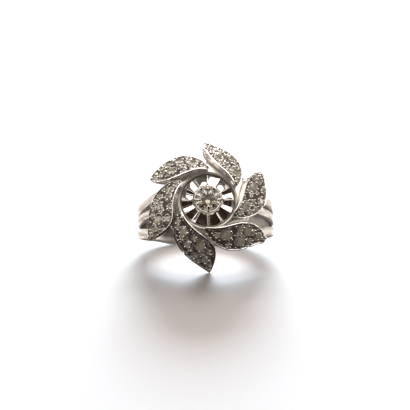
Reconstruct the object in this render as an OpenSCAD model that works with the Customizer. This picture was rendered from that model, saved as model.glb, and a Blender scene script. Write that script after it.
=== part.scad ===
// Dress ring in white gold: three-wire band, six-leaf flower head, fluted centre setting and one round stone.
// The ring is modelled with its finger hole along y and its head up along z, then laid on its side to rest.

/* [Band] */
// Diameter of the finger hole
bore_d = 17.2; // [15:0.1:20]
// Thickness of the band from the finger to its crest
band_t = 1.5; // [1.2:0.05:2.5]
// Width of each half-round wire
wire_w = 1.6; // [1.2:0.05:2.2]
// Angle that the lower wire leans out above the middle of the ring
lower_lean = 13; // [0:0.5:18]
// Angle that the upper wire leans out above the middle of the ring
upper_lean = 2; // [0:0.5:18]
// Angle that both outer wires close in below the middle of the ring
back_lean = 7.5; // [0:0.5:9]
// Outer radius of the collar under the head
collar_r = 4.4; // [4:0.1:5]

/* [Flower head] */
// Radius of the dome that the outer edges of the leaves follow
dome_r = 10.5; // [9.5:0.1:13]
// Height of the centre of that dome above the finger axis
dome_z = 4.8; // [3:0.1:6]
// Thickness of a leaf
leaf_t = 0.95; // [0.6:0.05:1.4]
// Width of the polished rim round a leaf
rim_w = 0.3; // [0.15:0.05:0.5]
// Depth of the paved field below the rim
field_d = 0.25; // [0.1:0.05:0.4]
// Radius of the domed back plate
back_r = 6.3; // [5:0.1:7]
// Thickness of the back plate
back_t = 0.7; // [0.4:0.05:1]

/* [Centre setting] */
// Radius of the fluted plate
plate_r = 3.7; // [3.3:0.05:3.8]
// Height of the foot of the fluted plate above the finger axis
plate_z = 13.0; // [12.6:0.05:13.4]
// Rise of the fluted plate from its edge to the stone
plate_rise = 0.8; // [0.5:0.05:1]
// Number of flutes
flute_n = 12; // [8:4:24]
// Number of claws
claw_n = 4; // [4:2:8]
// Radius of a claw
claw_r = 0.22; // [0.16:0.02:0.3]
// Distance of the tip of a claw from the middle of the stone
claw_tip_r = 1.5; // [1.3:0.05:1.7]

/* [Centre stone] */
// Diameter of the stone
stone_d = 3.55; // [3.4:0.05:4.2]
// Height of its girdle above the finger axis
girdle_z = 14.1; // [13.8:0.05:14.6]

/* [Resting pose] */
// Angle between the finger hole and the upright
rest_pitch = 23.87; // [0:0.01:30]
// Small tilt to the side that evens the ring out on the floor
rest_side = -2.05; // [-5:0.01:5]

/* [Hidden] */
$fn = 96;
bore_r = bore_d / 2;
half_w = wire_w / 2;
stone_r = stone_d / 2;
bore_cut = 0.3;
bore_len = 30;
arc_overlap = 2;
collar_foot = bore_r - 0.2;
head_top = 20;
// Outer radius of the thin web in the fork of the middle and lower wires, and where it ends inside the collar.
web_r = bore_r + band_t - 0.6;
web_end_r = 3.2;
// The dome turns into an even slope at slope_r, so that the leaf tips don't hang straight down.
slope_r = 8.3;
tip_slope = 1.2;
back_outer_r = dome_r - 0.75;
rim_drop = 0.05;
edge_drop = 0.1;
// Eye of the head, and the fluted plate that sits in it on a ledge.
eye_r = plate_r + 0.15;
ledge_in_r = 3.0;
ledge_gap = 0.02;
skirt_r = ledge_in_r - 0.1;
skirt_h = 0.8;
plate_edge = 0.25;
// Wall round the stone, which the claws rise along.
collet_r = stone_r + 0.2;
// Radius of a flute and height of its axis above the plate, at the collet and at the edge.
flute_in_r = 0.61;
flute_out_r = 1.5;
flute_in_h = 0.39;
flute_out_h = 1.23;
rib_r = 0.16;
claw_axis_r = stone_r + 0.14;
tip_bead_r = claw_r * 1.1;
// The stone, in the usual proportions of a round brilliant.
seat_gap = 0.04;
back_hole_r = 1.3;
pavilion_h = 0.43 * stone_d;
crown_h = 0.16 * stone_d;
table_r = 0.56 * stone_r;
girdle_t = 0.1;
// Puts the origin on the floor under the middle of the ring's bounding box.
rest_offset = [0, 2.978, 4.903];

module in_place() {
    translate(rest_offset)
        rotate([90 - rest_pitch, rest_side, 0])
            children();
}

// The band: three half-round wires side by side round the finger.

// Section of one wire: flat against the finger, low upright sides and a round crest.
module wire_section() {
    inner = bore_r - bore_cut;
    crest = bore_r + band_t;
    translate([crest - half_w, 0])
        circle(r = half_w, $fn = 48);
    translate([inner, -half_w])
        square([crest - half_w - inner, wire_w]);
}

module wire_arc(from_deg, sweep_deg) {
    rotate([90, 0, 0])
        rotate_extrude(angle = sweep_deg, start = from_deg)
            wire_section();
}

// An outer wire, in two half circles that meet at the sides of the finger.
module outer_wire(side, lean) {
    translate([0, side * wire_w, 0]) {
        rotate([-side * back_lean, 0, 0])
            wire_arc(180 - arc_overlap, 180 + 2 * arc_overlap);
        rotate([-side * lean, 0, 0])
            wire_arc(-arc_overlap, 180 + 2 * arc_overlap);
    }
}

// Thin web that closes the fork between the middle and the lower wire, from each shoulder to the collar.
module shoulder_web() {
    spread = web_r * tan(lower_lean);
    difference() {
        intersection() {
            rotate([90, 0, 0])
                cylinder(h = 2 * (wire_w + spread), r = web_r, center = true);
            rotate([90, 0, 90])
                linear_extrude(2 * web_r, center = true)
                    polygon([[0, 0], [0, web_r], [-wire_w - spread, web_r], [-wire_w, 0]]);
        }
        cylinder(h = head_top, r = web_end_r);
    }
}

// Short tube that carries the head, cut to sit over the wires and to hold the centre setting.
module collar() {
    difference() {
        cylinder(h = plate_z, r = collar_r);
        translate([0, 0, -1])
            cylinder(h = head_top, r = ledge_in_r);
        translate([0, 0, -1])
            cylinder(h = collar_foot + 1, r = collar_r + 1);
    }
}

// The flower head: six leaves on a domed back plate.

// One row per section of a leaf, from its root to its tip, angles counted from the tip:
// inner angle, inner radius, outer angle, outer radius, crest lift, wall depth, wall run.
leaf_rows = [
    [-65.0, 4.15, -67.0, 4.60, 0.25, 0.90, 0.08],
    [-57.0, 4.25, -61.0, 5.50, 0.50, 1.25, 0.32],
    [-46.0, 4.40, -54.0, 6.20, 0.60, 1.45, 0.48],
    [-34.0, 4.62, -46.0, 6.90, 0.65, 1.45, 0.55],
    [-22.0, 4.95, -38.0, 7.50, 0.65, 1.45, 0.55],
    [-11.0, 5.45, -29.0, 8.00, 0.60, 1.35, 0.50],
    [-3.0, 6.20, -20.0, 8.40, 0.50, 1.20, 0.40],
    [1.5, 7.10, -12.0, 8.80, 0.40, 1.05, 0.28],
    [2.5, 8.10, -6.0, 9.15, 0.25, 0.90, 0.12],
    [1.8, 8.90, -2.4, 9.40, 0.08, 0.70, 0.04],
    [0.8, 9.30, -0.8, 9.50, 0.00, 0.50, 0.00]
];

// One row per leaf: angle of its tip, reach of its tip, sway of its inner edge, spread of its outer edge,
// and how far the crest leans over its foot about crest_at, in degrees.
leaves = [
    [153.5, 0.955, -1, 1.07, 0],
    [90.5, 0.98, 0, 1.03, -2.5],
    [31, 0.975, -2, 1.07, 0],
    [329.5, 1.01, 1, 1, 0.5],
    [271, 1.01, 3, 0.99, 2.5],
    [209, 1.015, 2.5, 1, -5.5]
];
crest_at = 6.2;
crest_width = 1.8;

// Height of the dome at a radius: a sphere, and an even slope near the tips of the leaves.
function dome_at(r) =
    let (k = min(r, slope_r))
    dome_z + sqrt(dome_r * dome_r - k * k) - (r - k) * tip_slope;
function curve(a, b, c, d, t) =
    0.5 * (2 * b + (c - a) * t + (2 * a - 5 * b + 4 * c - d) * t * t + (3 * b - a - 3 * c + d) * t * t * t);
function row_at(s) =
    let (n = len(leaf_rows) - 1, i = min(floor(s), n - 1))
    curve(leaf_rows[max(i - 1, 0)], leaf_rows[i], leaf_rows[i + 1], leaf_rows[min(i + 2, n)], s - i);
// Rises from nothing at both ends of a leaf to one in its middle.
function swell(s) = pow(sin(180 * s / (len(leaf_rows) - 1)), 2);
function crest_bump(s) = exp(-pow((s - crest_at) / crest_width, 2));

// The ring of points of one section, from the foot of the inner wall over the top and back underneath.
function leaf_section(s, leaf) =
    let (
        row = row_at(s),
        n = len(leaf_rows) - 1,
        lift = row[4],
        depth = row[5],
        run = row[6],
        tip_angle = leaf[0],
        grow = 1 + (leaf[1] - 1) * s / n,
        sway = leaf[2] * swell(max(s - 2, 0) * n / (n - 2)),
        spread = 1 + (leaf[3] - 1) * swell(s),
        a_foot = tip_angle + row[0] + sway,
        a_in = a_foot + leaf[4] * crest_bump(s),
        a_out = tip_angle + row[2],
        r_in = row[1] * grow,
        r_out = row[3] * grow * spread,
        inner = [r_in * cos(a_in), r_in * sin(a_in), dome_at(r_in) + lift],
        outer = [r_out * cos(a_out), r_out * sin(a_out), dome_at(r_out)],
        above_foot = [r_in * cos(a_foot), r_in * sin(a_foot), inner[2]],
        w = norm(outer - inner),
        across = (outer - inner) / w,
        flat = [across[0], across[1], 0] / norm([across[0], across[1]]),
        side = cross(across, [0, 0, 1]) / norm(cross(across, [0, 0, 1])),
        up = cross(side, across),
        rim = min(rim_w, w * 0.2),
        step = min(field_d, w * 0.1),
        thick = min(leaf_t, 0.2 + w * 0.4)
    ) [
        // inner wall, from its foot to the crest
        above_foot - flat * run - [0, 0, depth],
        inner - up * edge_drop,
        // inner rim
        inner + across * rim * 0.5,
        inner + across * rim - up * rim_drop,
        // paved field
        inner + across * rim * 1.2 - up * step,
        inner + across * w / 2 - up * (step - 0.04 * w),
        outer - across * rim * 1.2 - up * step,
        // outer rim and edge
        outer - across * rim - up * rim_drop,
        outer - across * rim * 0.5,
        outer - up * edge_drop,
        outer - up * thick * 0.35 - [0, 0, thick * 0.35],
        // underside
        inner + across * w * 0.6 - [0, 0, thick * 1.1],
        inner + across * w * 0.25 - [0, 0, max(thick * 1.1, depth * 0.8)]
    ];

module leaf(shape) {
    n = 2 * (len(leaf_rows) - 1);
    rings = [for (i = [0:n]) leaf_section(i / 2, shape)];
    k = len(rings[0]);
    points = [for (ring = rings) for (p = ring) p];
    sides = [
        for (i = [0:n - 1]) for (j = [0:k - 1])
            let (a = i * k + j, b = i * k + (j + 1) % k)
            each [[a, a + k, b + k], [a, b + k, b]]
    ];
    root_end = [for (j = [0:k - 1]) j];
    tip_end = [for (j = [k - 1:-1:0]) n * k + j];
    polyhedron(points, concat([root_end], sides, [tip_end]), convexity = 6);
}

// Domed plate behind the leaves, open in the middle for the centre setting.
module back_plate() {
    difference() {
        intersection() {
            translate([0, 0, dome_z])
                sphere(r = back_outer_r);
            translate([0, 0, dome_z])
                cylinder(h = head_top, r = back_r);
        }
        translate([0, 0, dome_z])
            sphere(r = back_outer_r - back_t);
        cylinder(h = head_top, r = eye_r);
    }
}

// Everything soldered together: the three wires, the web, the collar, the back plate and the six leaves.
module band_and_head() {
    color("silver")
        in_place()
            difference() {
                union() {
                    rotate([90, 0, 0])
                        rotate_extrude()
                            wire_section();
                    outer_wire(-1, lower_lean);
                    outer_wire(1, upper_lean);
                    shoulder_web();
                    collar();
                    back_plate();
                    for (shape = leaves)
                        leaf(shape);
                }
                rotate([90, 0, 0])
                    cylinder(h = bore_len, r = bore_r, center = true);
                translate([0, 0, plate_z - ledge_gap])
                    cylinder(h = head_top, r = eye_r);
            }
}

// The centre setting: a fluted plate with its claws.

// One groove of the fluted plate, wider towards the edge.
module flute() {
    run = plate_r - collet_r;
    fall = plate_rise + flute_in_h - flute_out_h;
    past = 1.5;
    end_r = flute_in_r + (flute_out_r - flute_in_r) * past;
    translate([collet_r, 0, plate_z + plate_edge + plate_rise + flute_in_h])
        rotate([0, 90 + atan(fall / run), 0])
            cylinder(h = run * past, r1 = flute_in_r, r2 = end_r, $fn = 48);
}

// A claw: a rib down the plate, an upright along the collet and a tip bent over the crown of the stone.
module claw() {
    bend_z = girdle_z + girdle_t + claw_r / 2;
    tip_rise = (stone_r - claw_tip_r) * crown_h / (stone_r - table_r);
    reach = claw_axis_r - claw_tip_r;
    translate([claw_axis_r, 0, plate_z + plate_edge])
        cylinder(h = bend_z - plate_z - plate_edge, r = claw_r, $fn = 32);
    translate([claw_axis_r, 0, bend_z]) {
        sphere(r = claw_r, $fn = 32);
        rotate([0, -atan(reach / tip_rise), 0])
            cylinder(h = norm([reach, tip_rise]), r = claw_r, $fn = 32);
    }
    translate([claw_tip_r, 0, bend_z + tip_rise])
        sphere(r = tip_bead_r, $fn = 32);
    translate([collet_r, 0, plate_z + plate_edge + plate_rise])
        rotate([0, 90 + atan(plate_rise / (plate_r - collet_r)), 0])
            cylinder(h = norm([plate_r - collet_r, plate_rise]) - rib_r / 2, r = rib_r, $fn = 32);
}

// Room for the stone, a little larger than the stone itself.
module stone_seat() {
    wide = stone_r + seat_gap;
    translate([0, 0, girdle_z + girdle_t + seat_gap])
        cylinder(h = crown_h, r1 = wide, r2 = table_r + seat_gap);
    translate([0, 0, girdle_z])
        cylinder(h = girdle_t + seat_gap, r = wide);
    translate([0, 0, girdle_z - pavilion_h - seat_gap])
        cylinder(h = pavilion_h + seat_gap, r1 = 0.01, r2 = wide);
}

module centre_setting() {
    color("gainsboro")
        in_place()
            difference() {
                union() {
                    difference() {
                        translate([0, 0, plate_z])
                            union() {
                                cylinder(h = plate_edge, r = plate_r);
                                translate([0, 0, plate_edge])
                                    cylinder(h = plate_rise, r1 = plate_r, r2 = collet_r);
                            }
                        for (i = [0:flute_n - 1])
                            rotate([0, 0, (i + 0.5) * 360 / flute_n])
                                flute();
                    }
                    translate([0, 0, plate_z - skirt_h])
                        cylinder(h = skirt_h + 0.1, r = skirt_r);
                    translate([0, 0, plate_z])
                        cylinder(h = girdle_z + girdle_t - plate_z, r = collet_r);
                    for (i = [0:claw_n - 1])
                        rotate([0, 0, i * 360 / claw_n])
                            claw();
                }
                stone_seat();
                cylinder(h = head_top, r = back_hole_r);
            }
}

// The centre stone: a round brilliant, with the main facets of its crown.
module centre_stone() {
    color("lightcyan")
        in_place()
            hull() {
                translate([0, 0, girdle_z])
                    cylinder(h = girdle_t, r = stone_r, $fn = 16);
                translate([0, 0, girdle_z + girdle_t])
                    rotate([0, 0, 22.5])
                        cylinder(h = crown_h, r1 = stone_r * 0.98, r2 = table_r, $fn = 8);
                translate([0, 0, girdle_z - pavilion_h])
                    cylinder(h = pavilion_h, r1 = 0, r2 = stone_r, $fn = 16);
            }
}

band_and_head();
centre_setting();
centre_stone();
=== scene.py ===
import math
import random
from types import SimpleNamespace

import bmesh
import bpy
import numpy as np
from mathutils import Matrix, Vector


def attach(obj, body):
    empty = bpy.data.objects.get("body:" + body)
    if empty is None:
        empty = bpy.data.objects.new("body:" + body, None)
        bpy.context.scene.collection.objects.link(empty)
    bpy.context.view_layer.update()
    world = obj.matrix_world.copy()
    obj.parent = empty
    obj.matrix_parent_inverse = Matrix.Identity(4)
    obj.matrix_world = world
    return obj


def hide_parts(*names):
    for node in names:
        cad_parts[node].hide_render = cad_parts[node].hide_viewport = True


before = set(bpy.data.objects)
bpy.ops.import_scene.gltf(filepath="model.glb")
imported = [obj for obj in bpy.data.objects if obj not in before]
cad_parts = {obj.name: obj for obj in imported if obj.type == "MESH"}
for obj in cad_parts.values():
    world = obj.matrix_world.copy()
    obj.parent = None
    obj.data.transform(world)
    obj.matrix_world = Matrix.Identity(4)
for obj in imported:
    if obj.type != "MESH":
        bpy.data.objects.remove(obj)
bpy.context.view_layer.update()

# The band: three half-round wires of white gold that lie side by side round the finger.
# They are soldered together at the back, and narrow there. The outer two lean away from the middle one
# on their way up to the head. All sizes are millimetres in the ring's own frame: finger along y, head up z.

BORE_R = 8.6
CREST_R = 10.1
WIRE_W = 1.6
WIRE_CROWN = 0.5
WIRE_FULLNESS = 0.8
WIRE_FOOT = 0.12
WIRE_FOOT_FROM = 0.3
WIRE_FLAT_POINTS = 5
WIRE_FOOT_POINTS = 4
WIRE_DOME_POINTS = 25
WIRE_STEPS = 360
SOLDER_LINE = 0.015

# Below the middle of the band the wires narrow and close in, and above it the outer ones lean away, each by a
# share of the height. Near the head they flare as well, and the flare eases off.
WIRE_BACK_TAPER = 0.0465
BACK_CLOSING = 0.093
UPPER_LEAN = 0.035
LOWER_LEAN = 0.225
LEAN_BLEND = 0.8
UPPER_FLARE = 0.13
LOWER_FLARE = 0.1
FLARE_FROM_Z = 4.5
FLARE_EASE = 3.5

# Painted shade lies in the seams between the wires, in the finger hole and under the head. There an outer
# wire is more shaded on its side towards the middle wire: places across it in half widths, and the share of
# painted shade there.
SEAM_SHADE = 0.75
SEAM_SHARPNESS = 12
INSIDE_SHADE = 0.45
INSIDE_DEPTH = 0.3
UNDER_HEAD_SHADE = 1.0
UNDER_HEAD_Z = (7.0, 8.0)
MIDDLE_SIDE = (-0.5, 0.3)
MIDDLE_SIDE_SHADE = (0.25, 1)

# How the finished ring settles on the sheet: its tilt in degrees, and where the middle of its band then is.
REST_PITCH = 23.87
REST_SIDE = -2.05
REST_OFFSET = np.array([0, 2.978, 4.903])
pitched = Matrix.Rotation(math.radians(90 - REST_PITCH), 3, "X")
LAID_TURN = np.array(Matrix.Rotation(math.radians(REST_SIDE), 3, "Y") @ pitched)
METRE = 0.001

WIRE_GOLD = (0.94, 0.88, 0.82, 1)
# The dark tarnish colour, which is also the colour of the painted shade on the wires.
WIRE_TARNISH_AND_SHADE = (0.05, 0.033, 0.025, 1)

# How much rougher metal is where it is tarnished and in its fine grain, and how deep its wear is in metres.
TARNISH_ROUGHNESS = 0.3
GRAIN_ROUGHNESS = 0.12
WEAR_DEPTH = 0.000012


def laid(points):
    """Takes points from the ring's own frame to their place on the floor, in metres."""
    return (np.asarray(points, float).reshape(-1, 3) @ LAID_TURN.T + REST_OFFSET) * METRE


def skin(rings, around, closed=False):
    """Four-sided faces between each ring of points and the next one."""
    i, j = np.meshgrid(np.arange(rings if closed else rings - 1), np.arange(around), indexing="ij")
    after = (i + 1) % rings
    beside = (j + 1) % around
    corners = (i * around + j, i * around + beside, after * around + beside, after * around + j)
    return np.stack(corners, -1).reshape(-1, 4).tolist()


def worked_piece(name, points, faces, finish, node, faceted=False):
    """Makes one closed piece of the ring that stands for a CAD node."""
    mesh = bpy.data.meshes.new(name)
    mesh.from_pydata(laid(points).tolist(), [], faces)
    shaped = bmesh.new()
    shaped.from_mesh(mesh)
    bmesh.ops.recalc_face_normals(shaped, faces=shaped.faces)
    shaped.to_mesh(mesh)
    shaped.free()
    mesh.polygons.foreach_set("use_smooth", [not faceted] * len(mesh.polygons))
    mesh.materials.append(finish)
    made = bpy.data.objects.new(name, mesh)
    bpy.context.scene.collection.objects.link(made)
    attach(made, "root")
    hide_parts(node)
    return made


def add_shade_and_grime(made, shade_and_dirt):
    """Writes the painted shade and soiling on each point of a piece, from 0 where there is none to about 1,
    for its finish.
    """
    layer = made.data.attributes.new("shade_and_grime", "FLOAT", "POINT")
    layer.data.foreach_set("value", np.asarray(shade_and_dirt, np.float32))


def add_node(tree, kind, sockets=None, **settings):
    """Adds a shader node, with the values of its sockets and its other settings."""
    node = tree.nodes.new("ShaderNode" + kind)
    for key, value in settings.items():
        setattr(node, key, value)
    for key, value in (sockets or {}).items():
        node.inputs[key].default_value = value
    return node


def new_group(name, sockets_in, sockets_out):
    """Starts a group of shader nodes, with its named inputs and outputs."""
    group = bpy.data.node_groups.new(name, "ShaderNodeTree")
    for way, sockets in (("INPUT", sockets_in), ("OUTPUT", sockets_out)):
        for socket, kind in sockets.items():
            group.interface.new_socket(socket, in_out=way, socket_type="NodeSocket" + kind)
    return group, group.nodes.new("NodeGroupInput"), group.nodes.new("NodeGroupOutput")


def build_wear_group():
    """Wear of old polished metal: tarnish colour for painted shade and soiling, and in soft clouds, uneven
    gloss and hairlines.
    """
    group, entry, leave = new_group(
        "worn_polish",
        {"Metal": "Color", "Tarnish": "Color", "Shade And Grime": "Float", "Gloss Loss": "Float", "Hairlines": "Float"},
        {"Color": "Color", "Bare": "Float", "Roughness": "Float", "Height": "Float"},
    )
    link = group.links.new
    place = add_node(group, "TexCoord")
    clouds = add_node(group, "TexNoise", {"Scale": 650, "Detail": 3, "Roughness": 0.6})
    grains = add_node(group, "TexNoise", {"Scale": 5200, "Detail": 2})
    along = add_node(group, "Mapping", {"Rotation": (0.5, 0.3, 0.2), "Scale": (1200, 16000, 1500)})
    hairs = add_node(group, "TexNoise", {"Scale": 1, "Detail": 2})
    link(place.outputs["Object"], clouds.inputs["Vector"])
    link(place.outputs["Object"], grains.inputs["Vector"])
    link(place.outputs["Object"], along.inputs["Vector"])
    link(along.outputs["Vector"], hairs.inputs["Vector"])
    patchy = add_node(group, "MapRange", {"From Min": 0.35, "From Max": 0.7, "To Min": -0.12, "To Max": 0.1})
    link(clouds.outputs["Fac"], patchy.inputs["Value"])
    # Painted shade and soiling from the finish, with the soft clouds, turn the metal to its tarnish colour.
    shade_and_stain = add_node(group, "Math", operation="ADD", use_clamp=True)
    link(entry.outputs["Shade And Grime"], shade_and_stain.inputs[0])
    link(patchy.outputs["Result"], shade_and_stain.inputs[1])
    tone = add_node(group, "Mix", data_type="RGBA")
    link(shade_and_stain.outputs[0], tone.inputs["Factor"])
    link(entry.outputs["Metal"], tone.inputs["A"])
    link(entry.outputs["Tarnish"], tone.inputs["B"])
    link(tone.outputs["Result"], leave.inputs["Color"])
    bare = add_node(group, "Math", {0: 1.0}, operation="SUBTRACT")
    link(shade_and_stain.outputs[0], bare.inputs[1])
    link(bare.outputs[0], leave.inputs["Bare"])
    dulled = add_node(group, "Math", {1: TARNISH_ROUGHNESS}, operation="MULTIPLY_ADD")
    link(shade_and_stain.outputs[0], dulled.inputs[0])
    link(entry.outputs["Gloss Loss"], dulled.inputs[2])
    uneven = add_node(group, "Math", {1: GRAIN_ROUGHNESS}, operation="MULTIPLY_ADD", use_clamp=True)
    link(grains.outputs["Fac"], uneven.inputs[0])
    link(dulled.outputs[0], uneven.inputs[2])
    link(uneven.outputs[0], leave.inputs["Roughness"])
    lines = add_node(group, "Math", operation="MULTIPLY")
    link(hairs.outputs["Fac"], lines.inputs[0])
    link(entry.outputs["Hairlines"], lines.inputs[1])
    height = add_node(group, "Math", operation="ADD")
    link(lines.outputs[0], height.inputs[0])
    link(grains.outputs["Fac"], height.inputs[1])
    link(height.outputs[0], leave.inputs["Height"])
    return group


WEAR = build_wear_group()


def metal_finish(name, metal, tarnish, gloss_loss, hairlines, relief, shade_and_grime=0.0, shade_and_grime_layer=None):
    """Polished metal with wear: painted shade and soiling are the same everywhere, or read from a layer of
    the mesh.
    """
    finish = bpy.data.materials.new(name)
    finish.use_nodes = True
    tree = finish.node_tree
    link = tree.links.new
    metal_shader = tree.nodes["Principled BSDF"]
    wear = tree.nodes.new("ShaderNodeGroup")
    wear.node_tree = WEAR
    for socket, value in (
        ("Metal", metal),
        ("Tarnish", tarnish),
        ("Shade And Grime", shade_and_grime),
        ("Gloss Loss", gloss_loss),
        ("Hairlines", hairlines),
    ):
        wear.inputs[socket].default_value = value
    if shade_and_grime_layer:
        layer = add_node(tree, "Attribute", attribute_name=shade_and_grime_layer)
        link(layer.outputs["Fac"], wear.inputs["Shade And Grime"])
    bump = add_node(tree, "Bump", {"Strength": relief, "Distance": WEAR_DEPTH})
    link(wear.outputs["Color"], metal_shader.inputs["Base Color"])
    link(wear.outputs["Bare"], metal_shader.inputs["Metallic"])
    link(wear.outputs["Roughness"], metal_shader.inputs["Roughness"])
    link(wear.outputs["Height"], bump.inputs["Height"])
    link(bump.outputs["Normal"], metal_shader.inputs["Normal"])
    return finish


def wire_outline(half_w):
    """Half-round outline of a wire, as (distance from the finger's axis, place across)."""
    shoulder = CREST_R - WIRE_CROWN
    flat = [(BORE_R, v) for v in np.linspace(-half_w + WIRE_FOOT, half_w - WIRE_FOOT, WIRE_FLAT_POINTS)]
    heel = [
        (BORE_R + WIRE_FOOT * (1 - math.cos(a)), half_w - WIRE_FOOT + WIRE_FOOT * math.sin(a))
        for a in np.linspace(WIRE_FOOT_FROM, math.pi / 2, WIRE_FOOT_POINTS)
    ]
    dome = []
    for a in np.linspace(0, math.pi, WIRE_DOME_POINTS):
        rise = math.sin(a) ** WIRE_FULLNESS
        out = math.copysign(abs(math.cos(a)) ** WIRE_FULLNESS, math.cos(a))
        dome.append((shoulder + WIRE_CROWN * rise, half_w * out))
    toe = [(r, -v) for r, v in reversed(heel)]
    return np.array(flat + heel + dome + toe)


def wire_course(side, lean, turn):
    """Where the middle line of a wire runs across the band at one turn, and half its width there."""
    height = CREST_R * math.sin(turn)
    half_w = WIRE_W / 2 + WIRE_BACK_TAPER * min(height, 0) - SOLDER_LINE
    parting = BACK_CLOSING * height
    parting += (lean - BACK_CLOSING) * 0.5 * (height + math.hypot(height, LEAN_BLEND))
    near_head = max(height - FLARE_FROM_Z, 0)
    flare = UPPER_FLARE if side > 0 else LOWER_FLARE
    parting += flare * near_head**2 / (1 + (near_head / FLARE_EASE) ** 2)
    return side * (WIRE_W + parting), half_w


def wire_points(side, lean):
    """Rings of points along one wire, and the painted shade on each."""
    rings = []
    shade_and_dirt = []
    for turn in np.linspace(0, 2 * math.pi, WIRE_STEPS, endpoint=False):
        middle, half_w = wire_course(side, lean, turn)
        for r, v in wire_outline(half_w):
            height = r * math.sin(turn)
            rings.append((r * math.cos(turn), middle + v, height))
            # Painted shade in the seams, in the finger hole, and under the head on the side towards the
            # middle wire.
            in_seam = SEAM_SHADE * abs(v / half_w) ** SEAM_SHARPNESS
            by_middle = np.interp(-side * v / half_w, MIDDLE_SIDE, MIDDLE_SIDE_SHADE)
            under_head = UNDER_HEAD_SHADE * by_middle * np.interp(height, UNDER_HEAD_Z, (0, 1))
            shade_and_dirt.append(max(in_seam, under_head) if r > BORE_R + INSIDE_DEPTH else INSIDE_SHADE)
    return rings, shade_and_dirt


wire_finish = metal_finish(
    "wire_polish", WIRE_GOLD, WIRE_TARNISH_AND_SHADE, gloss_loss=0.26, hairlines=0.9, relief=0.25, shade_and_grime_layer="shade_and_grime"
)
for wire_name, wire_side, wire_lean in (
    ("lower_wire", -1, LOWER_LEAN),
    ("middle_wire", 0, 0),
    ("upper_wire", 1, UPPER_LEAN),
):
    points, shade_and_dirt = wire_points(wire_side, wire_lean)
    faces = skin(WIRE_STEPS, len(points) // WIRE_STEPS, closed=True)
    wire = worked_piece(wire_name, points, faces, wire_finish, "band_and_head")
    add_shade_and_grime(wire, shade_and_dirt)

# The webs: on each shoulder a thin strip closes the fork between the middle and the lower wire, up to the
# collar. It is soldered between them below their crests, and is darkened with painted shade, the left one
# more than the right.

WEB_OUT_R = 9.5
WEB_IN_R = 8.64
WEB_HOLLOW = 0.15
WEB_IN_WIRE = 0.3
WEB_START = -0.06
WEB_END_R = 3.7
WEB_LANES = 13
WEB_STEPS = 60

# The turn where a web meets the collar is found from a first guess, in a few rounds. A lane that passes
# beside the collar ends near the middle of the head: the square of how near.
WEB_END_GUESS = 1.2
WEB_END_ROUNDS = 12
WEB_END_SQUARE = 0.1

WHITE_GOLD = (0.82, 0.77, 0.70, 1)
# Colour of the webs' tarnish and of their painted shade.
WEB_TARNISH_AND_SHADE = (0.045, 0.03, 0.023, 1)

# Each web: its side and how much painted shade lies on it.
WEBS = (("left_web", -1, 0.95), ("right_web", 1, 0.5))


def end_fans(rings, around):
    """Faces that close both ends of a skin. Its two end points come after the points of its last ring."""
    ends = rings * around
    last = ends - around
    fans = [[ends, j, (j + 1) % around] for j in range(around)]
    fans += [[ends + 1, last + (j + 1) % around, last + j] for j in range(around)]
    return fans


def web_across(turn, share):
    """Place across the band at one turn, from the middle wire (share 0) to the lower wire (share 1)."""
    inner, inner_half = wire_course(0, 0, turn)
    outer, outer_half = wire_course(-1, LOWER_LEAN, turn)
    near = inner - inner_half + WEB_IN_WIRE
    far = outer + outer_half - WEB_IN_WIRE
    return near + (far - near) * share


def web_end(share):
    """The turn at which the web, at one share of its width, runs into the collar."""
    turn = WEB_END_GUESS
    for _ in range(WEB_END_ROUNDS):
        square = WEB_END_R**2 - web_across(turn, share) ** 2
        turn = math.acos(math.sqrt(max(square, WEB_END_SQUARE)) / WEB_OUT_R)
    return turn


def web_mesh(mirror):
    """One web; mirror is 1 on the right and -1 on the left."""
    shares = np.linspace(0, 1, WEB_LANES)
    ends = [web_end(share) for share in shares]
    points = []
    for along in np.linspace(0, 1, WEB_STEPS):
        turns = [WEB_START + (end - WEB_START) * along for end in ends]
        top = [
            (WEB_OUT_R - WEB_HOLLOW * 4 * share * (1 - share), turn, web_across(turn, share))
            for share, turn in zip(shares, turns)
        ]
        under = [(WEB_IN_R, turn, y) for _, turn, y in reversed(top)]
        points += [(mirror * r * math.cos(turn), y, r * math.sin(turn)) for r, turn, y in top + under]
    around = 2 * WEB_LANES
    points = np.array(points)
    middles = [points[:around].mean(0), points[-around:].mean(0)]
    return np.concatenate([points, middles]), skin(WEB_STEPS, around) + end_fans(WEB_STEPS, around)


for web_name, mirror, shade_and_grime in WEBS:
    points, faces = web_mesh(mirror)
    web_finish = metal_finish(
        web_name + "_polish", WHITE_GOLD, WEB_TARNISH_AND_SHADE, gloss_loss=0.3, hairlines=1.5, relief=0.4, shade_and_grime=shade_and_grime
    )
    worked_piece(web_name, points, faces, web_finish, "band_and_head")

# The collar: a short tube that stands over the three wires and carries the head.
# It is cut below to the curve of the wires and soldered to them, and is open towards the finger.

COLLAR_IN_R = 3.0
COLLAR_OUT_R = 4.4
COLLAR_WAIST = 0.18
COLLAR_ROUND = 0.12
COLLAR_FOOT_R = 8.72
COLLAR_STEPS = 144
COLLAR_RINGS = 8
LEDGE_Z = 12.85

OLD_POLISH_TARNISH = (0.30, 0.225, 0.17, 1)


def turned_piece(name, outline_at, steps, finish, node):
    """Makes a ring-shaped piece round the z axis, from its outline (distance, height) at each turn."""
    points = [
        (r * math.cos(turn), r * math.sin(turn), z)
        for turn in np.linspace(0, 2 * math.pi, steps, endpoint=False)
        for r, z in outline_at(turn)
    ]
    return worked_piece(name, points, skin(steps, len(points) // steps, closed=True), finish, node)


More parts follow.
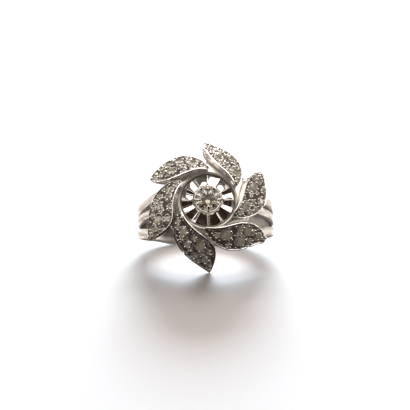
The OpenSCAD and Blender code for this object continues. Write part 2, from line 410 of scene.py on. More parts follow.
def collar_wall(r, turn, waist):
    """One wall of the collar at one turn, from its foot on the wires up to its ledge."""
    foot_z = math.sqrt(COLLAR_FOOT_R**2 - (r * math.cos(turn)) ** 2)
    top_z = LEDGE_Z - COLLAR_ROUND
    return [
        (r - waist * math.sin(math.pi * t), foot_z + (top_z - foot_z) * t)
        for t in np.linspace(0, 1, COLLAR_RINGS)
    ]


def collar_outline(turn):
    """Up the inner wall of the collar, over its ledge and down the outer wall."""
    ledge = [(COLLAR_IN_R + COLLAR_ROUND, LEDGE_Z), (COLLAR_OUT_R - COLLAR_ROUND, LEDGE_Z)]
    return collar_wall(COLLAR_IN_R, turn, 0) + ledge + collar_wall(COLLAR_OUT_R, turn, COLLAR_WAIST)[::-1]


collar_finish = metal_finish(
    "inner_polish", WHITE_GOLD, OLD_POLISH_TARNISH, gloss_loss=0.22, hairlines=1.5, relief=0.4, shade_and_grime=0.75
)
turned_piece("head_collar", collar_outline, COLLAR_STEPS, collar_finish, "band_and_head")

# The back plate: a thin domed disc of white gold with an open eye, soldered on the collar.
# The leaves are soldered on it, and it shows bright between their roots. Painted shade lies round the eye.

DOME_Z = 4.8
PLATE_DOME_R = 9.75
BACK_T = 0.65
EYE_R = 3.9
BACK_R = 6.25
BACK_ROUND = 0.2
BACK_ROUND_SHARPNESS = 6
BACK_RINGS = 14
BACK_STEPS = 192
EYE_SHADE = 0.55
EYE_SHADE_R = (3.9, 4.3)
BACK_GOLD = (1.0, 0.97, 0.86, 1)
BACK_TARNISH_AND_SHADE = (0.1, 0.07, 0.05, 1)


def plate_face(dome_r, start_r, end_r, rounding):
    """One face of the back plate from edge to edge, domed, with a rounding towards both edges."""
    face = []
    for step, r in enumerate(np.linspace(start_r, end_r, BACK_RINGS)):
        off_middle = abs(2 * step / (BACK_RINGS - 1) - 1)
        domed = DOME_Z + math.sqrt(dome_r**2 - r**2)
        face.append((r, domed + rounding * off_middle**BACK_ROUND_SHARPNESS))
    return face


back_finish = metal_finish(
    "satin_back", BACK_GOLD, BACK_TARNISH_AND_SHADE, gloss_loss=0.22, hairlines=0.8, relief=0.15, shade_and_grime_layer="shade_and_grime"
)
back_outline = plate_face(PLATE_DOME_R, EYE_R, BACK_R, -BACK_ROUND)
back_outline += plate_face(PLATE_DOME_R - BACK_T, BACK_R, EYE_R, BACK_ROUND)
back_plate = turned_piece(
    "back_plate", lambda turn: back_outline, BACK_STEPS, back_finish, "band_and_head"
)
# Painted shade round the eye, fading out towards the leaves.
add_shade_and_grime(back_plate, [EYE_SHADE * np.interp(r, EYE_SHADE_R, (1, 0)) for r, _ in back_outline] * BACK_STEPS)

# The leaves: six cast leaves of white gold that overlap like a pinwheel, soldered on the back plate.
# Each has a tall polished inner wall, a thin polished rim all round and a sunk field with seats for stones.

DOME_R = 10.5
SLOPE_R = 8.3
TIP_SLOPE = 1.2
LEAN_WIDTH = 1.8
WALL_HOLLOW = 0.1
LEAF_SECTIONS = 300
WALL_STEPS = 14
FIELD_STEPS = 72
TIP_STOP = 9.85
TIP_ROUND = 0.1
TIP_TURNS = (0.5, 0.95, 1.3)
BLUNT_AT = 8.9
BLUNT_WIDTH = 0.9
NOTCH_D = 0.22
NOTCH_W = 0.13

# Where a leaf is narrow, its rims, field and thickness are held to a share of its width.
CREST_RIM_W = 0.48
CREST_RIM_SHARE = 0.24
EDGE_RIM_W = 0.28
EDGE_RIM_SHARE = 0.17
FIELD_D = 0.25
FIELD_D_SHARE = 0.1
LEAF_T = 0.95
LEAF_T_SHARE = 0.4
LEAF_T_LEAST = 0.2

# From root to tip, angles counted from the tip: inner angle, inner radius, outer angle, outer radius,
# lift of the crest, depth of the inner wall, run of the inner wall.
LEAF_ROWS = np.array([
    [-65.0, 4.15, -67.0, 4.60, 0.25, 0.90, 0.08],
    [-57.0, 4.25, -61.0, 5.50, 0.50, 1.25, 0.32],
    [-46.0, 4.40, -54.0, 6.20, 0.60, 1.45, 0.48],
    [-34.0, 4.62, -46.0, 6.90, 0.65, 1.45, 0.55],
    [-22.0, 4.95, -38.0, 7.50, 0.65, 1.45, 0.55],
    [-11.0, 5.45, -29.0, 8.00, 0.60, 1.35, 0.50],
    [-3.0, 6.20, -20.0, 8.40, 0.50, 1.20, 0.40],
    [1.5, 7.10, -12.0, 8.80, 0.40, 1.05, 0.28],
    [2.5, 8.10, -6.0, 9.15, 0.25, 0.90, 0.12],
    [1.8, 8.90, -2.4, 9.40, 0.08, 0.70, 0.04],
    [0.8, 9.30, -0.8, 9.50, 0.00, 0.50, 0.00],
])
LEAF_END = len(LEAF_ROWS) - 1

# Each leaf: angle of its tip, reach, sway of its inner edge, spread of its outer edge, lean of its crest
# (in degrees, and about which place along), roundness of its tip, notches in its rim (place along), and its
# larger stones (place along from 0 at the root to 10 at the tip, place across from 0 at the crest to 1,
# diameter).
LEAVES = {
    "leaf_upper_left": SimpleNamespace(
        tip=153.5, reach=0.955, sway=-1, spread=1.07, lean=(0, 6.2), blunt=0.15, notches=[5.2],
        stones=[
            (7.05, 0.5, 0.99), (5.55, 0.4, 1.38), (5.9, 0.78, 0.88),
            (4.55, 0.78, 1.21), (2.85, 0.55, 1.38), (4.1, 0.4, 0.72),
        ],
    ),
    "leaf_top": SimpleNamespace(
        tip=90.5, reach=0.98, sway=0, spread=1.03, lean=(-2.5, 6.2), blunt=0.55, notches=[4.9],
        stones=[
            (7.45, 0.7, 0.77), (5.65, 0.35, 1.38), (4.7, 0.8, 1.04),
            (2.65, 0.55, 1.38), (4.0, 0.35, 0.77),
        ],
    ),
    "leaf_right": SimpleNamespace(
        tip=31, reach=0.975, sway=-2, spread=1.07, lean=(0, 6.2), blunt=0.35, notches=[4.2],
        stones=[
            (7.05, 0.55, 0.99), (5.65, 0.37, 1.49), (4.6, 0.8, 1.04),
            (2.8, 0.4, 1.38), (6.0, 0.82, 0.77),
        ],
    ),
    "leaf_lower_right": SimpleNamespace(
        tip=329.5, reach=1.01, sway=1, spread=1, lean=(0.5, 6.2), blunt=0.45, notches=[6.2],
        stones=[(3.55, 0.38, 1.54), (6.1, 0.35, 1.38), (5.25, 0.67, 1.43), (7.65, 0.6, 0.94)],
    ),
    "leaf_bottom": SimpleNamespace(
        tip=271, reach=1.01, sway=3, spread=0.99, lean=(2.5, 6.2), blunt=0, notches=[5.1],
        stones=[
            (3.15, 0.47, 1.32), (5.45, 0.35, 1.65), (4.55, 0.63, 1.1),
            (7.05, 0.58, 1.16), (6.0, 0.8, 0.77),
        ],
    ),
    "leaf_left": SimpleNamespace(
        tip=209, reach=1.015, sway=2, spread=1, lean=(8, 4.9), blunt=0.1, notches=[5.3],
        stones=[
            (3.3, 0.4, 1.04), (6.1, 0.55, 1.54), (7.45, 0.65, 1.04),
            (4.65, 0.65, 0.94), (5.5, 0.25, 0.94), (5.85, 0.86, 0.72),
        ],
    ),
}
SWAY_FROM = 2

# Rounded rim, as (place across in rim widths, height in field depths). It has no painted shade down to a
# height, which on the crest is lower than on the outer edge.
RIM_SLOPE = 1.2
RIM_OUTLINE = (
    (0, -0.6), (0.03, -0.3), (0.12, -0.02), (0.28, 0.16), (0.48, 0.22),
    (0.68, 0.13), (0.85, -0.1), (0.98, -0.4), (1.08, -0.7), (RIM_SLOPE, -1.0),
)
CREST_UNSHADED = -0.6
EDGE_UNSHADED = -0.25

# The field is a little crowned. The graver has scored it all over in fine waves, less beside its rims.
FIELD_CROWN = 0.04
SCORE_D = 0.02
SCORES_ALONG = 21
SCORES_ACROSS = 9
SCORE_SLANT = 7
SCORE_DRIFT = 2.5
SCORE_FROM_RIM = 1 / 8

# A seat is a cone with a small step and a raised bright lip round it. A stone stands a little proud in it and
# may lie a little over a rim. Where the field is already cut by another seat, no lip is raised.
SEAT_SLOPE = math.tan(math.radians(42))
SEAT_STEP = 0.01
SEAT_LIP = 0.04
SEAT_LIP_W = 0.05
SEAT_OVERLAP = 0.06
ALREADY_CUT = 0.05
STONE_RISE = 0.05

# The under side: where its two lowest lines run across the leaf, and how thick it is there and at its edge.
UNDER_PLACES = (0.6, 0.25)
UNDER_T_SHARE = 1.1
UNDER_WALL_SHARE = 0.8
UNDER_STEPS = 4
EDGE_T_SHARE = 0.35
EDGE_PLACES = (0.35, 0.7)

# Painted shade, by where it lies: at the foot of the inner wall and in the fold under its crest (place up the
# wall and width), beside the rims, in the field and its seats (there with dark tarnish), on the outer edge
# and below.
FOOT_SHADE = 1.0
FOOT_SHADE_FADE = 1.8
FOLD_SHADE = 0.6
FOLD_AT = 0.82
FOLD_W = 0.13
RIM_SHADE = 0.75
FIELD_TARNISH_AND_SHADE = 1.1
LIP_SHINE = 1.05
LIP_SHINE_W = 0.07
EDGE_SHADE = 0.7
UNDER_SHADE = 0.4
ROOT_SHADE = 0.3

LEAF_GOLD = (0.96, 0.90, 0.86, 1)
# Colour of the leaves' tarnish and of their painted shade.
LEAF_TARNISH_AND_SHADE = (0.07, 0.043, 0.029, 1)


def unit(rows):
    return rows / np.linalg.norm(rows, axis=-1, keepdims=True)


def polar(r, degrees, z):
    return np.stack([r * np.cos(np.radians(degrees)), r * np.sin(np.radians(degrees)), z], -1)


def swell(x, middle, width):
    """A smooth swelling that is 1 at its middle and nearly gone two widths away."""
    return np.exp(-(((x - middle) / width) ** 2))


def smooth_run(a, b, c, d, t):
    """The way from b to c at share t, on a smooth line that comes from a and goes on to d."""
    return 0.5 * (2 * b + (c - a) * t + (2 * a - 5 * b + 4 * c - d) * t**2 + (3 * b - a - 3 * c + d) * t**3)


def dome_at(r):
    """Height of the dome that the leaves follow: a sphere, and an even slope near their tips."""
    held = np.minimum(r, SLOPE_R)
    return DOME_Z + np.sqrt(DOME_R**2 - held**2) - (r - held) * TIP_SLOPE


def leaf_lines(leaf, s):
    """Foot, crest and edge of a leaf at places s along it, with its directions and its thicknesses there."""
    s = np.atleast_1d(np.asarray(s, float))
    i = np.clip(np.floor(s).astype(int), 0, LEAF_END - 1)
    rows = [LEAF_ROWS[np.clip(i + k, 0, LEAF_END)] for k in (-1, 0, 1, 2)]
    in_deg, in_r, out_deg, out_r, lift, depth, run = smooth_run(*rows, (s - i)[:, None]).T
    grow = 1 + (leaf.reach - 1) * s / LEAF_END
    spread = 1 + (leaf.spread - 1) * np.sin(math.pi * s / LEAF_END) ** 2
    swayed = np.maximum(s - SWAY_FROM, 0) / (LEAF_END - SWAY_FROM)
    foot_deg = leaf.tip + in_deg + leaf.sway * np.sin(math.pi * swayed) ** 2
    lean, lean_at = leaf.lean
    crest_deg = foot_deg + lean * swell(s, lean_at, LEAN_WIDTH)
    in_r = in_r * grow
    out_r = out_r * grow * spread
    crest = polar(in_r, crest_deg, dome_at(in_r) + lift)
    edge = polar(out_r, leaf.tip + out_deg, dome_at(out_r))
    fuller = leaf.blunt * swell(s, BLUNT_AT, BLUNT_WIDTH)[:, None] * (edge - crest) / 2
    crest = crest - fuller
    edge = edge + fuller
    across = unit(edge - crest)
    for place in leaf.notches:
        edge = edge - across * (NOTCH_D * swell(s, place, NOTCH_W))[:, None]
    w = np.linalg.norm(edge - crest, axis=1)
    flat = unit(across * [1, 1, 0])
    side = unit(np.cross(across, [0, 0, 1]))
    return SimpleNamespace(
        crest=crest,
        edge=edge,
        foot=polar(in_r, foot_deg, crest[:, 2] - depth) - flat * run[:, None],
        across=across,
        up=np.cross(side, across),
        flat=flat,
        w=w,
        depth=depth,
        crest_rim=np.minimum(CREST_RIM_W, CREST_RIM_SHARE * w),
        rim=np.minimum(EDGE_RIM_W, EDGE_RIM_SHARE * w),
        step=np.minimum(FIELD_D, FIELD_D_SHARE * w),
        thick=np.minimum(LEAF_T, LEAF_T_LEAST + LEAF_T_SHARE * w),
    )


def field_height(x, line):
    """Height of the sunk field above the line from crest to edge, at x millimetres across."""
    share = (x - RIM_SLOPE * line.crest_rim) / (line.w - RIM_SLOPE * (line.crest_rim + line.rim))
    return -line.step + FIELD_CROWN * line.w * 4 * share * (1 - share)


def stone_seats(leaf, stones):
    """Middle, direction and radius of each stone of a leaf, as it sits in the field."""
    seats = []
    for place, share, diameter in stones:
        line = leaf_lines(leaf, place)
        r = diameter / 2
        nearest = line.crest_rim + r - SEAT_OVERLAP
        x = np.clip(share * line.w, nearest, np.maximum(line.w - line.rim - r + SEAT_OVERLAP, nearest))
        middle = line.crest + line.across * x[:, None]
        middle = middle + line.up * (field_height(x, line) + STONE_RISE)[:, None]
        seats.append(SimpleNamespace(middle=middle[0], up=line.up[0], across=line.across[0], r=r))
    return seats


def cut_seats(points, sunk, seats):
    """Cuts the seats into one lane of the field: how far it is raised or sunk, and the painted shade and
    tarnish on it.
    """
    shade_and_dirt = np.full(len(points), FIELD_TARNISH_AND_SHADE)
    for seat in seats:
        away = points - seat.middle
        out = np.linalg.norm(away - (away @ seat.up)[:, None] * seat.up, axis=1)
        inside = out < seat.r
        lip_middle = seat.r + SEAT_LIP_W
        lip = SEAT_LIP * swell(out, lip_middle, SEAT_LIP_W)
        beside = np.where(sunk < -ALREADY_CUT, sunk, sunk + lip)
        sunk = np.where(inside, -(seat.r - out) * SEAT_SLOPE - SEAT_STEP, beside)
        shine = LIP_SHINE * swell(out, lip_middle, LIP_SHINE_W)
        shade_and_dirt = np.where(inside, FIELD_TARNISH_AND_SHADE, np.minimum(shade_and_dirt, FIELD_TARNISH_AND_SHADE - shine))
    return sunk, shade_and_dirt


def leaf_lanes(line, places, seats):
    """The skin of a leaf, as lanes that run from its root to its tip, each with its painted shade."""

    def raised(x, y):
        return line.crest + line.across * x[:, None] + line.up * y[:, None]

    lanes = []
    top = raised(0 * line.w, RIM_OUTLINE[0][1] * line.step)
    for t in np.linspace(0, 1, WALL_STEPS, endpoint=False):
        hollow = WALL_HOLLOW * 4 * t * (1 - t)
        # Painted shade at the foot of the wall and in the fold under its crest.
        shade_and_dirt = FOOT_SHADE * (1 - t) ** FOOT_SHADE_FADE + FOLD_SHADE * swell(t, FOLD_AT, FOLD_W)
        lanes.append((line.foot + (top - line.foot) * t + line.flat * hollow, shade_and_dirt))
    for x, y in RIM_OUTLINE:
        lanes.append((raised(x * line.crest_rim, y * line.step), RIM_SHADE if y < CREST_UNSHADED else 0.0))
    for t in np.linspace(0, 1, FIELD_STEPS)[1:-1]:
        x = RIM_SLOPE * line.crest_rim + (line.w - RIM_SLOPE * (line.crest_rim + line.rim)) * t
        points = raised(x, field_height(x, line))
        along = np.sin(SCORES_ALONG * places + SCORE_SLANT * t)
        scores = along * np.sin(SCORES_ACROSS * x + SCORE_DRIFT * places)
        from_rims = min(1, t / SCORE_FROM_RIM, (1 - t) / SCORE_FROM_RIM)
        sunk, shade_and_dirt = cut_seats(points, SCORE_D * scores * from_rims, seats)
        lanes.append((points + line.up * sunk[:, None], shade_and_dirt))
    for x, y in reversed(RIM_OUTLINE):
        lanes.append((raised(line.w - x * line.rim, y * line.step), RIM_SHADE if y < EDGE_UNSHADED else 0.0))

    upwards = np.array([0, 0, 1.0])
    w, thick, depth = line.w[:, None], line.thick[:, None], line.depth[:, None]
    far, near = (line.crest + line.across * w * place for place in UNDER_PLACES)
    under = [
        line.edge - (line.up + upwards) * thick * EDGE_T_SHARE,
        far - upwards * thick * UNDER_T_SHARE,
        near - upwards * np.maximum(thick * UNDER_T_SHARE, depth * UNDER_WALL_SHARE),
        line.foot,
    ]
    rim_foot = lanes[-1][0]
    lanes += [(rim_foot + (under[0] - rim_foot) * t, EDGE_SHADE) for t in EDGE_PLACES]
    for start, end in zip(under, under[1:]):
        lanes += [(start + (end - start) * k / UNDER_STEPS, UNDER_SHADE) for k in range(UNDER_STEPS)]
    return lanes


def leaf_mesh(leaf, seats):
    """Points, faces and painted shade of one leaf, cut with the seats of its stones."""
    places = np.linspace(0, TIP_STOP, LEAF_SECTIONS)
    lanes = leaf_lanes(leaf_lines(leaf, places), places, seats)
    points = np.stack([lane for lane, _ in lanes], 1)
    shade_and_dirt = np.stack([np.broadcast_to(lane_shade_and_dirt, LEAF_SECTIONS) for _, lane_shade_and_dirt in lanes], 1)
    root = points[0].mean(0)
    last = points[-1]
    middle = last.mean(0)
    ahead = unit(middle - points[-4].mean(0)) * TIP_ROUND
    caps = [middle + (last - middle) * math.cos(a) + ahead * math.sin(a) for a in TIP_TURNS]
    points = np.concatenate([points.reshape(-1, 3)] + caps + [[root], [middle + ahead]])
    shade_and_dirt = np.concatenate([shade_and_dirt.reshape(-1)] + [shade_and_dirt[-1]] * len(caps) + [[ROOT_SHADE, 0]])
    rings = LEAF_SECTIONS + len(caps)
    return points, skin(rings, len(lanes)) + end_fans(rings, len(lanes)), shade_and_dirt


# Small stones fill the field between the larger ones: their sizes, how many places are tried for each size,
# between which bounds along and across a leaf, and how far they keep apart.
FILL_SEED = 11
FILL_SIZES = (0.75, 0.6)
FILL_TRIES = 36
FILL_ALONG = (0.9, 8.7)
FILL_ACROSS = (0.1, 0.9)
STONE_GAP = 0.07


def filled_seats(leaf, draw):
    """The seats of the charted stones, and of the small ones that fill the field between them."""
    seats = stone_seats(leaf, leaf.stones)
    for diameter in FILL_SIZES:
        for _ in range(FILL_TRIES):
            place = draw.uniform(*FILL_ALONG)
            share = draw.uniform(*FILL_ACROSS)
            line = leaf_lines(leaf, place)
            x = share * line.w[0]
            if not line.crest_rim[0] + diameter / 2 <= x <= line.w[0] - line.rim[0] - diameter / 2:
                continue
            seat = stone_seats(leaf, [(place, share, diameter)])[0]
            if all(np.linalg.norm(seat.middle - o.middle) > seat.r + o.r + STONE_GAP for o in seats):
                seats.append(seat)
    return seats


leaf_finish = metal_finish(
    "leaf_polish", LEAF_GOLD, LEAF_TARNISH_AND_SHADE, gloss_loss=0.03, hairlines=0.8, relief=0.25, shade_and_grime_layer="shade_and_grime"
)
chance = random.Random(FILL_SEED)
seats_of = {name: filled_seats(leaf, chance) for name, leaf in LEAVES.items()}
for name, leaf in LEAVES.items():
    points, faces, shade_and_dirt = leaf_mesh(leaf, seats_of[name])
    add_shade_and_grime(worked_piece(name, points, faces, leaf_finish, "band_and_head"), shade_and_dirt)

# The small stones: round stones with a plain eight-sided cut, pressed into the seats of the leaves.
# Old dirt behind them makes them look greyish.

SMALL_SIDES = 8
SMALL_TABLE = 0.58
SMALL_CROWN = 31
SMALL_PAVILION = 39
SMALL_GIRDLE = 0.035
BLANK_T = 2.6
CUT_EXACTNESS = 1e-6
WELD_GAP = 1e-4
SMALL_STONE_TINT = (0.86, 0.78, 0.6, 1)
CLOUDED = 0.8


def cut_stone(sides, girdle, table, facets):
    """A stone of radius 1 with its girdle at height 0: a round blank cut by a plane for each facet.

    Facets come as rows: how many, angle of the first, tilt (negative below the girdle), and the distance and
    height that they pass through (no height: that of the table).
    """
    stone = bmesh.new()
    bmesh.ops.create_cone(stone, cap_ends=True, segments=sides, radius1=1, radius2=1, depth=BLANK_T)
    crown_tilt = math.radians(facets[0][2])
    table_z = girdle + (1 - table) * math.tan(crown_tilt)
    planes = [((0, 0, table_z), (0, 0, 1))]
    for count, first, tilt, through_r, through_z in facets:
        lean = math.radians(abs(tilt))
        facing = 1 if tilt > 0 else -1
        through_z = table_z if through_z is None else through_z
        for k in range(count):
            a = math.radians(first + 360 / count * k)
            normal = (math.sin(lean) * math.cos(a), math.sin(lean) * math.sin(a), facing * math.cos(lean))
            planes.append(((through_r * math.cos(a), through_r * math.sin(a), through_z), normal))
    for through, normal in planes:
        cut = bmesh.ops.bisect_plane(
            stone,
            geom=stone.verts[:] + stone.edges[:] + stone.faces[:],
            dist=CUT_EXACTNESS,
            plane_co=through,
            plane_no=normal,
            clear_outer=True,
        )
        rim = [e for e in cut["geom_cut"] if isinstance(e, bmesh.types.BMEdge)]
        if len(rim) > 2:
            bmesh.ops.edgenet_fill(stone, edges=rim)
    bmesh.ops.remove_doubles(stone, verts=stone.verts, dist=WELD_GAP)
    stone.verts.index_update()
    points = np.array([v.co for v in stone.verts])
    faces = [[v.index for v in f.verts] for f in stone.faces]
    stone.free()
    return points, faces


def joined(parts):
    """Puts several (points, faces) together in one mesh."""
    points = []
    faces = []
    count = 0
    for part_points, part_faces in parts:
        points.append(part_points)
        faces += [[v + count for v in face] for face in part_faces]
        count += len(part_points)
    return np.concatenate(points), faces


def seated(shape, seat, turn):
    """A shape of radius 1, put in a seat and turned about its own axis."""
    sideways = np.cross(seat.up, seat.across)
    first = seat.across * math.cos(turn) + sideways * math.sin(turn)
    second = np.cross(seat.up, first)
    points, faces = shape
    placed = points[:, :1] * first + points[:, 1:2] * second + points[:, 2:] * seat.up
    return seat.middle + placed * seat.r, faces


def build_cloud_group():
    """Faint clouds in a stone: its colour, a little darker in soft patches."""
    group, entry, leave = new_group(
        "clouded_stone", {"Clear": "Color", "Clouded": "Color"}, {"Color": "Color"}
    )
    link = group.links.new
    place = add_node(group, "TexCoord")
    clouds = add_node(group, "TexNoise", {"Scale": 900, "Detail": 2})
    tone = add_node(group, "Mix", data_type="RGBA")
    link(place.outputs["Object"], clouds.inputs["Vector"])
    link(clouds.outputs["Fac"], tone.inputs["Factor"])
    link(entry.outputs["Clear"], tone.inputs["A"])
    link(entry.outputs["Clouded"], tone.inputs["B"])
    link(tone.outputs["Result"], leave.inputs["Color"])
    return group


CLOUDS = build_cloud_group()


def stone_finish(name, colour, roughness, clearness, ior):
    """Faceted stone, faintly clouded."""
    finish = bpy.data.materials.new(name)
    finish.use_nodes = True
    tree = finish.node_tree
    clear = tree.nodes["Principled BSDF"]
    clear.inputs["Transmission Weight"].default_value = clearness
    clear.inputs["IOR"].default_value = ior
    clear.inputs["Roughness"].default_value = roughness
    clouds = tree.nodes.new("ShaderNodeGroup")
    clouds.node_tree = CLOUDS
    clouds.inputs["Clear"].default_value = colour
    clouds.inputs["Clouded"].default_value = tuple(CLOUDED * c for c in colour[:3]) + (1,)
    tree.links.new(clouds.outputs["Color"], clear.inputs["Base Color"])
    return finish


SMALL_CUT = cut_stone(
    2 * SMALL_SIDES,
    SMALL_GIRDLE,
    SMALL_TABLE,
    [
        (SMALL_SIDES, 0, SMALL_CROWN, 1, SMALL_GIRDLE),
        (SMALL_SIDES, 0, -SMALL_PAVILION, 1, -SMALL_GIRDLE),
    ],
)
small_stone_finish = stone_finish(
    "small_stone_glass", SMALL_STONE_TINT, roughness=0.05, clearness=0.62, ior=2.4
)
for name, seats in seats_of.items():
    points, faces = joined(seated(SMALL_CUT, seat, chance.uniform(0, math.pi)) for seat in seats)
    worked_piece(
        name + "_stones", points, faces, small_stone_finish, "band_and_head", faceted=True
    )

# The grains: little beads of metal raised from the field and pressed over the edges of the stones, with
# loose ones in what room is left. The grains of a leaf are joined in one piece.

GRAIN_R = (0.14, 0.2)
GRAIN_REACH = 0.07
GRAIN_APART = 0.4
GRAIN_OFF_STONE = 0.02
GRAIN_TURNS = 5
GRAIN_AROUND = 10
GRAIN_RINGS = 5
GRAIN_ALONG = np.linspace(0.4, 9.4, 181)
LOOSE_TRIES = 130
LOOSE_ALONG = (0.5, 9.4)
LOOSE_ACROSS = (0.05, 0.95)
GRAIN_GOLD = (0.86, 0.83, 0.78, 1)


def grain_ball():
    """A round bead of radius 1."""
    points = []
    for k in range(1, GRAIN_RINGS + 1):
        a = math.pi * k / (GRAIN_RINGS + 1)
        points += [
            (math.sin(a) * math.cos(t), math.sin(a) * math.sin(t), math.cos(a))
            for t in np.linspace(0, 2 * math.pi, GRAIN_AROUND, endpoint=False)
        ]
    points += [(0, 0, 1.0), (0, 0, -1.0)]
    return np.array(points), skin(GRAIN_RINGS, GRAIN_AROUND) + end_fans(GRAIN_RINGS, GRAIN_AROUND)


def crowded(spot, others, gap):
    """Whether a spot lies nearer than a gap to the rim of another seat."""
    return any(np.linalg.norm(spot - o.middle) < o.r + gap for o in others)


def grain_seats(leaf, seats, draw):
    """Places of the grains round the stones of a leaf, and of the loose ones."""
    line = leaf_lines(leaf, GRAIN_ALONG)
    lengthwise = np.cross(line.up, line.across)
    grains = []

    def apart(spot):
        return all(np.linalg.norm(spot - g.middle) > GRAIN_APART for g in grains)

    for seat in seats:
        sideways = np.cross(seat.up, seat.across)
        first = draw.uniform(0, 2 * math.pi)
        others = [other for other in seats if other is not seat]
        for k in range(GRAIN_TURNS):
            a = first + 2 * math.pi * k / GRAIN_TURNS
            outward = seat.across * math.cos(a) + sideways * math.sin(a)
            spot = seat.middle + outward * (seat.r + GRAIN_REACH)
            nearest = np.argmin(np.abs(np.einsum("ij,ij->i", spot - line.crest, lengthwise)))
            x = (spot - line.crest[nearest]) @ line.across[nearest]
            in_field = line.crest_rim[nearest] < x < line.w[nearest] - line.rim[nearest]
            if in_field and apart(spot) and not crowded(spot, others, GRAIN_OFF_STONE):
                grain_r = draw.uniform(*GRAIN_R)
                grains.append(SimpleNamespace(middle=spot, up=seat.up, across=seat.across, r=grain_r))
    for _ in range(LOOSE_TRIES):
        place = draw.uniform(*LOOSE_ALONG)
        share = draw.uniform(*LOOSE_ACROSS)
        loose = stone_seats(leaf, [(place, share, 2 * draw.uniform(*GRAIN_R))])[0]
        if apart(loose.middle) and not crowded(loose.middle, seats, GRAIN_REACH):
            grains.append(loose)
    return grains


GRAIN = grain_ball()
grain_finish = metal_finish(
    "grain_polish", GRAIN_GOLD, OLD_POLISH_TARNISH, gloss_loss=0.1, hairlines=0.5, relief=0.2
)
for name, leaf in LEAVES.items():
    grains = grain_seats(leaf, seats_of[name], chance)
    points, faces = joined(seated(GRAIN, grain, 0) for grain in grains)
    worked_piece(name + "_grains", points, faces, grain_finish, "band_and_head")

# The centre setting: a round plate of bright-cut white gold with twelve flutes, which throws light at the
# stone. A low collet in its middle holds the stone, and a short skirt under it sits in the collar.

FLUTES = 12
FLUTE_D_IN = 0.15
FLUTE_D_OUT = 0.25
FLUTE_STEPS = 26
FLUTE_RUN_IN = 3 / FLUTE_STEPS
SETTING_R = 3.7
SETTING_UNDER_Z = 12.87
SETTING_EDGE_Z = 13.33
SETTING_TOP_Z = 13.72
SETTING_STEPS = 576
EDGE_BULGE = 0.012
COLLET_R = 1.94
COLLET_RIM_Z = 14.19
COLLET_FOOT = 0.01
SEAT_R = 1.77
SEAT_Z = 14.05
SEAT_HOLE_R = 1.3
SKIRT_R = 2.88
SKIRT_Z = 12.25
SKIRT_ROUND = 0.05
PAVILION_DEG = 40.75
BRIGHT_GOLD = (0.9, 0.87, 0.83, 1)
BRIGHT_TARNISH = (0.34, 0.28, 0.22, 1)


def setting_outline(turn):
    """Outline of the setting at one turn, from the hole up over the collet and the flutes and back below.

    The steps of a few hundredths are softened edges.
    """
    pitch = 2 * math.pi / FLUTES
    groove = 1 - (2 * ((turn / pitch) % 1 - 0.5)) ** 2
    hole_z = SEAT_Z - (SEAT_R - SEAT_HOLE_R) * math.tan(math.radians(PAVILION_DEG))
    outline = [
        (SEAT_HOLE_R, SKIRT_Z + SKIRT_ROUND),
        (SEAT_HOLE_R, hole_z - 0.15),
        (SEAT_HOLE_R + 0.01, hole_z - 0.03),
        (SEAT_HOLE_R + 0.03, hole_z),
        (SEAT_R - 0.02, SEAT_Z - 0.03),
        (SEAT_R, SEAT_Z),
        (SEAT_R + 0.015, COLLET_RIM_Z - 0.03),
        (SEAT_R + 0.04, COLLET_RIM_Z),
        (COLLET_R - 0.07, COLLET_RIM_Z + 0.005),
        (COLLET_R - 0.02, COLLET_RIM_Z - 0.02),
        (COLLET_R, COLLET_RIM_Z - 0.06),
    ]
    foot_r = COLLET_R + COLLET_FOOT
    for t in np.linspace(0, 1, FLUTE_STEPS):
        depth = FLUTE_D_IN + (FLUTE_D_OUT - FLUTE_D_IN) * t
        sunk = depth * groove * min(1.0, t / FLUTE_RUN_IN)
        edge_z = SETTING_TOP_Z + (SETTING_EDGE_Z - SETTING_TOP_Z) * t - sunk
        outline.append((foot_r + (SETTING_R - foot_r) * t, edge_z))
    outline += [
        (SETTING_R + EDGE_BULGE, edge_z - EDGE_BULGE),
        (SETTING_R + EDGE_BULGE, SETTING_UNDER_Z + EDGE_BULGE),
        (SETTING_R, SETTING_UNDER_Z),
        (SKIRT_R + 0.02, SETTING_UNDER_Z),
        (SKIRT_R, SETTING_UNDER_Z - 0.02),
        (SKIRT_R, SKIRT_Z + SKIRT_ROUND),
        (SKIRT_R - SKIRT_ROUND, SKIRT_Z),
        (SEAT_HOLE_R + SKIRT_ROUND, SKIRT_Z),
    ]
    return outline


setting_finish = metal_finish(
    "bright_cut", BRIGHT_GOLD, BRIGHT_TARNISH, gloss_loss=0.0, hairlines=0.5, relief=0.12
)
turned_piece(
    "fluted_plate", setting_outline, SETTING_STEPS, setting_finish, "centre_setting"
)

# The claws: four round wires that run down the plate, rise along the collet and bend over the stone.
# Each is soldered along the ridge between two flutes, and its tip is rounded to a ball.

# From the foot up the side of the collet: distance from the middle, height, half thickness.
CLAW_FOOT = (
    (3.62, 13.37, 0.13),
    (2.9, 13.53, 0.14),
    (2.3, 13.67, 0.15),
    (2.06, 13.85, 0.18),
    (1.96, 14.18, 0.2),
    (1.82, 14.42, 0.2),
)
CLAW_TIP_T = 0.21
CLAW_BALL_T = 1.1 * CLAW_TIP_T
CLAW_REST = 0.13
CLAW_ARCH = 0.07
CLAW_SMOOTH = 5
CLAW_AROUND = 20
CLAW_END_TURNS = (0.5, 0.9, 1.25)
CLAW_TWIST_FROM_R = 2.1
GIRDLE_Z = 14.1
CROWN_DEG = 34.5

# Each claw: its angle and the twist of its tip in degrees, and the distance of its tip from the middle.
CLAWS = ((0, -7, 1.5), (90, 0, 1.45), (180, 7, 1.4), (270, 3, 1.2))


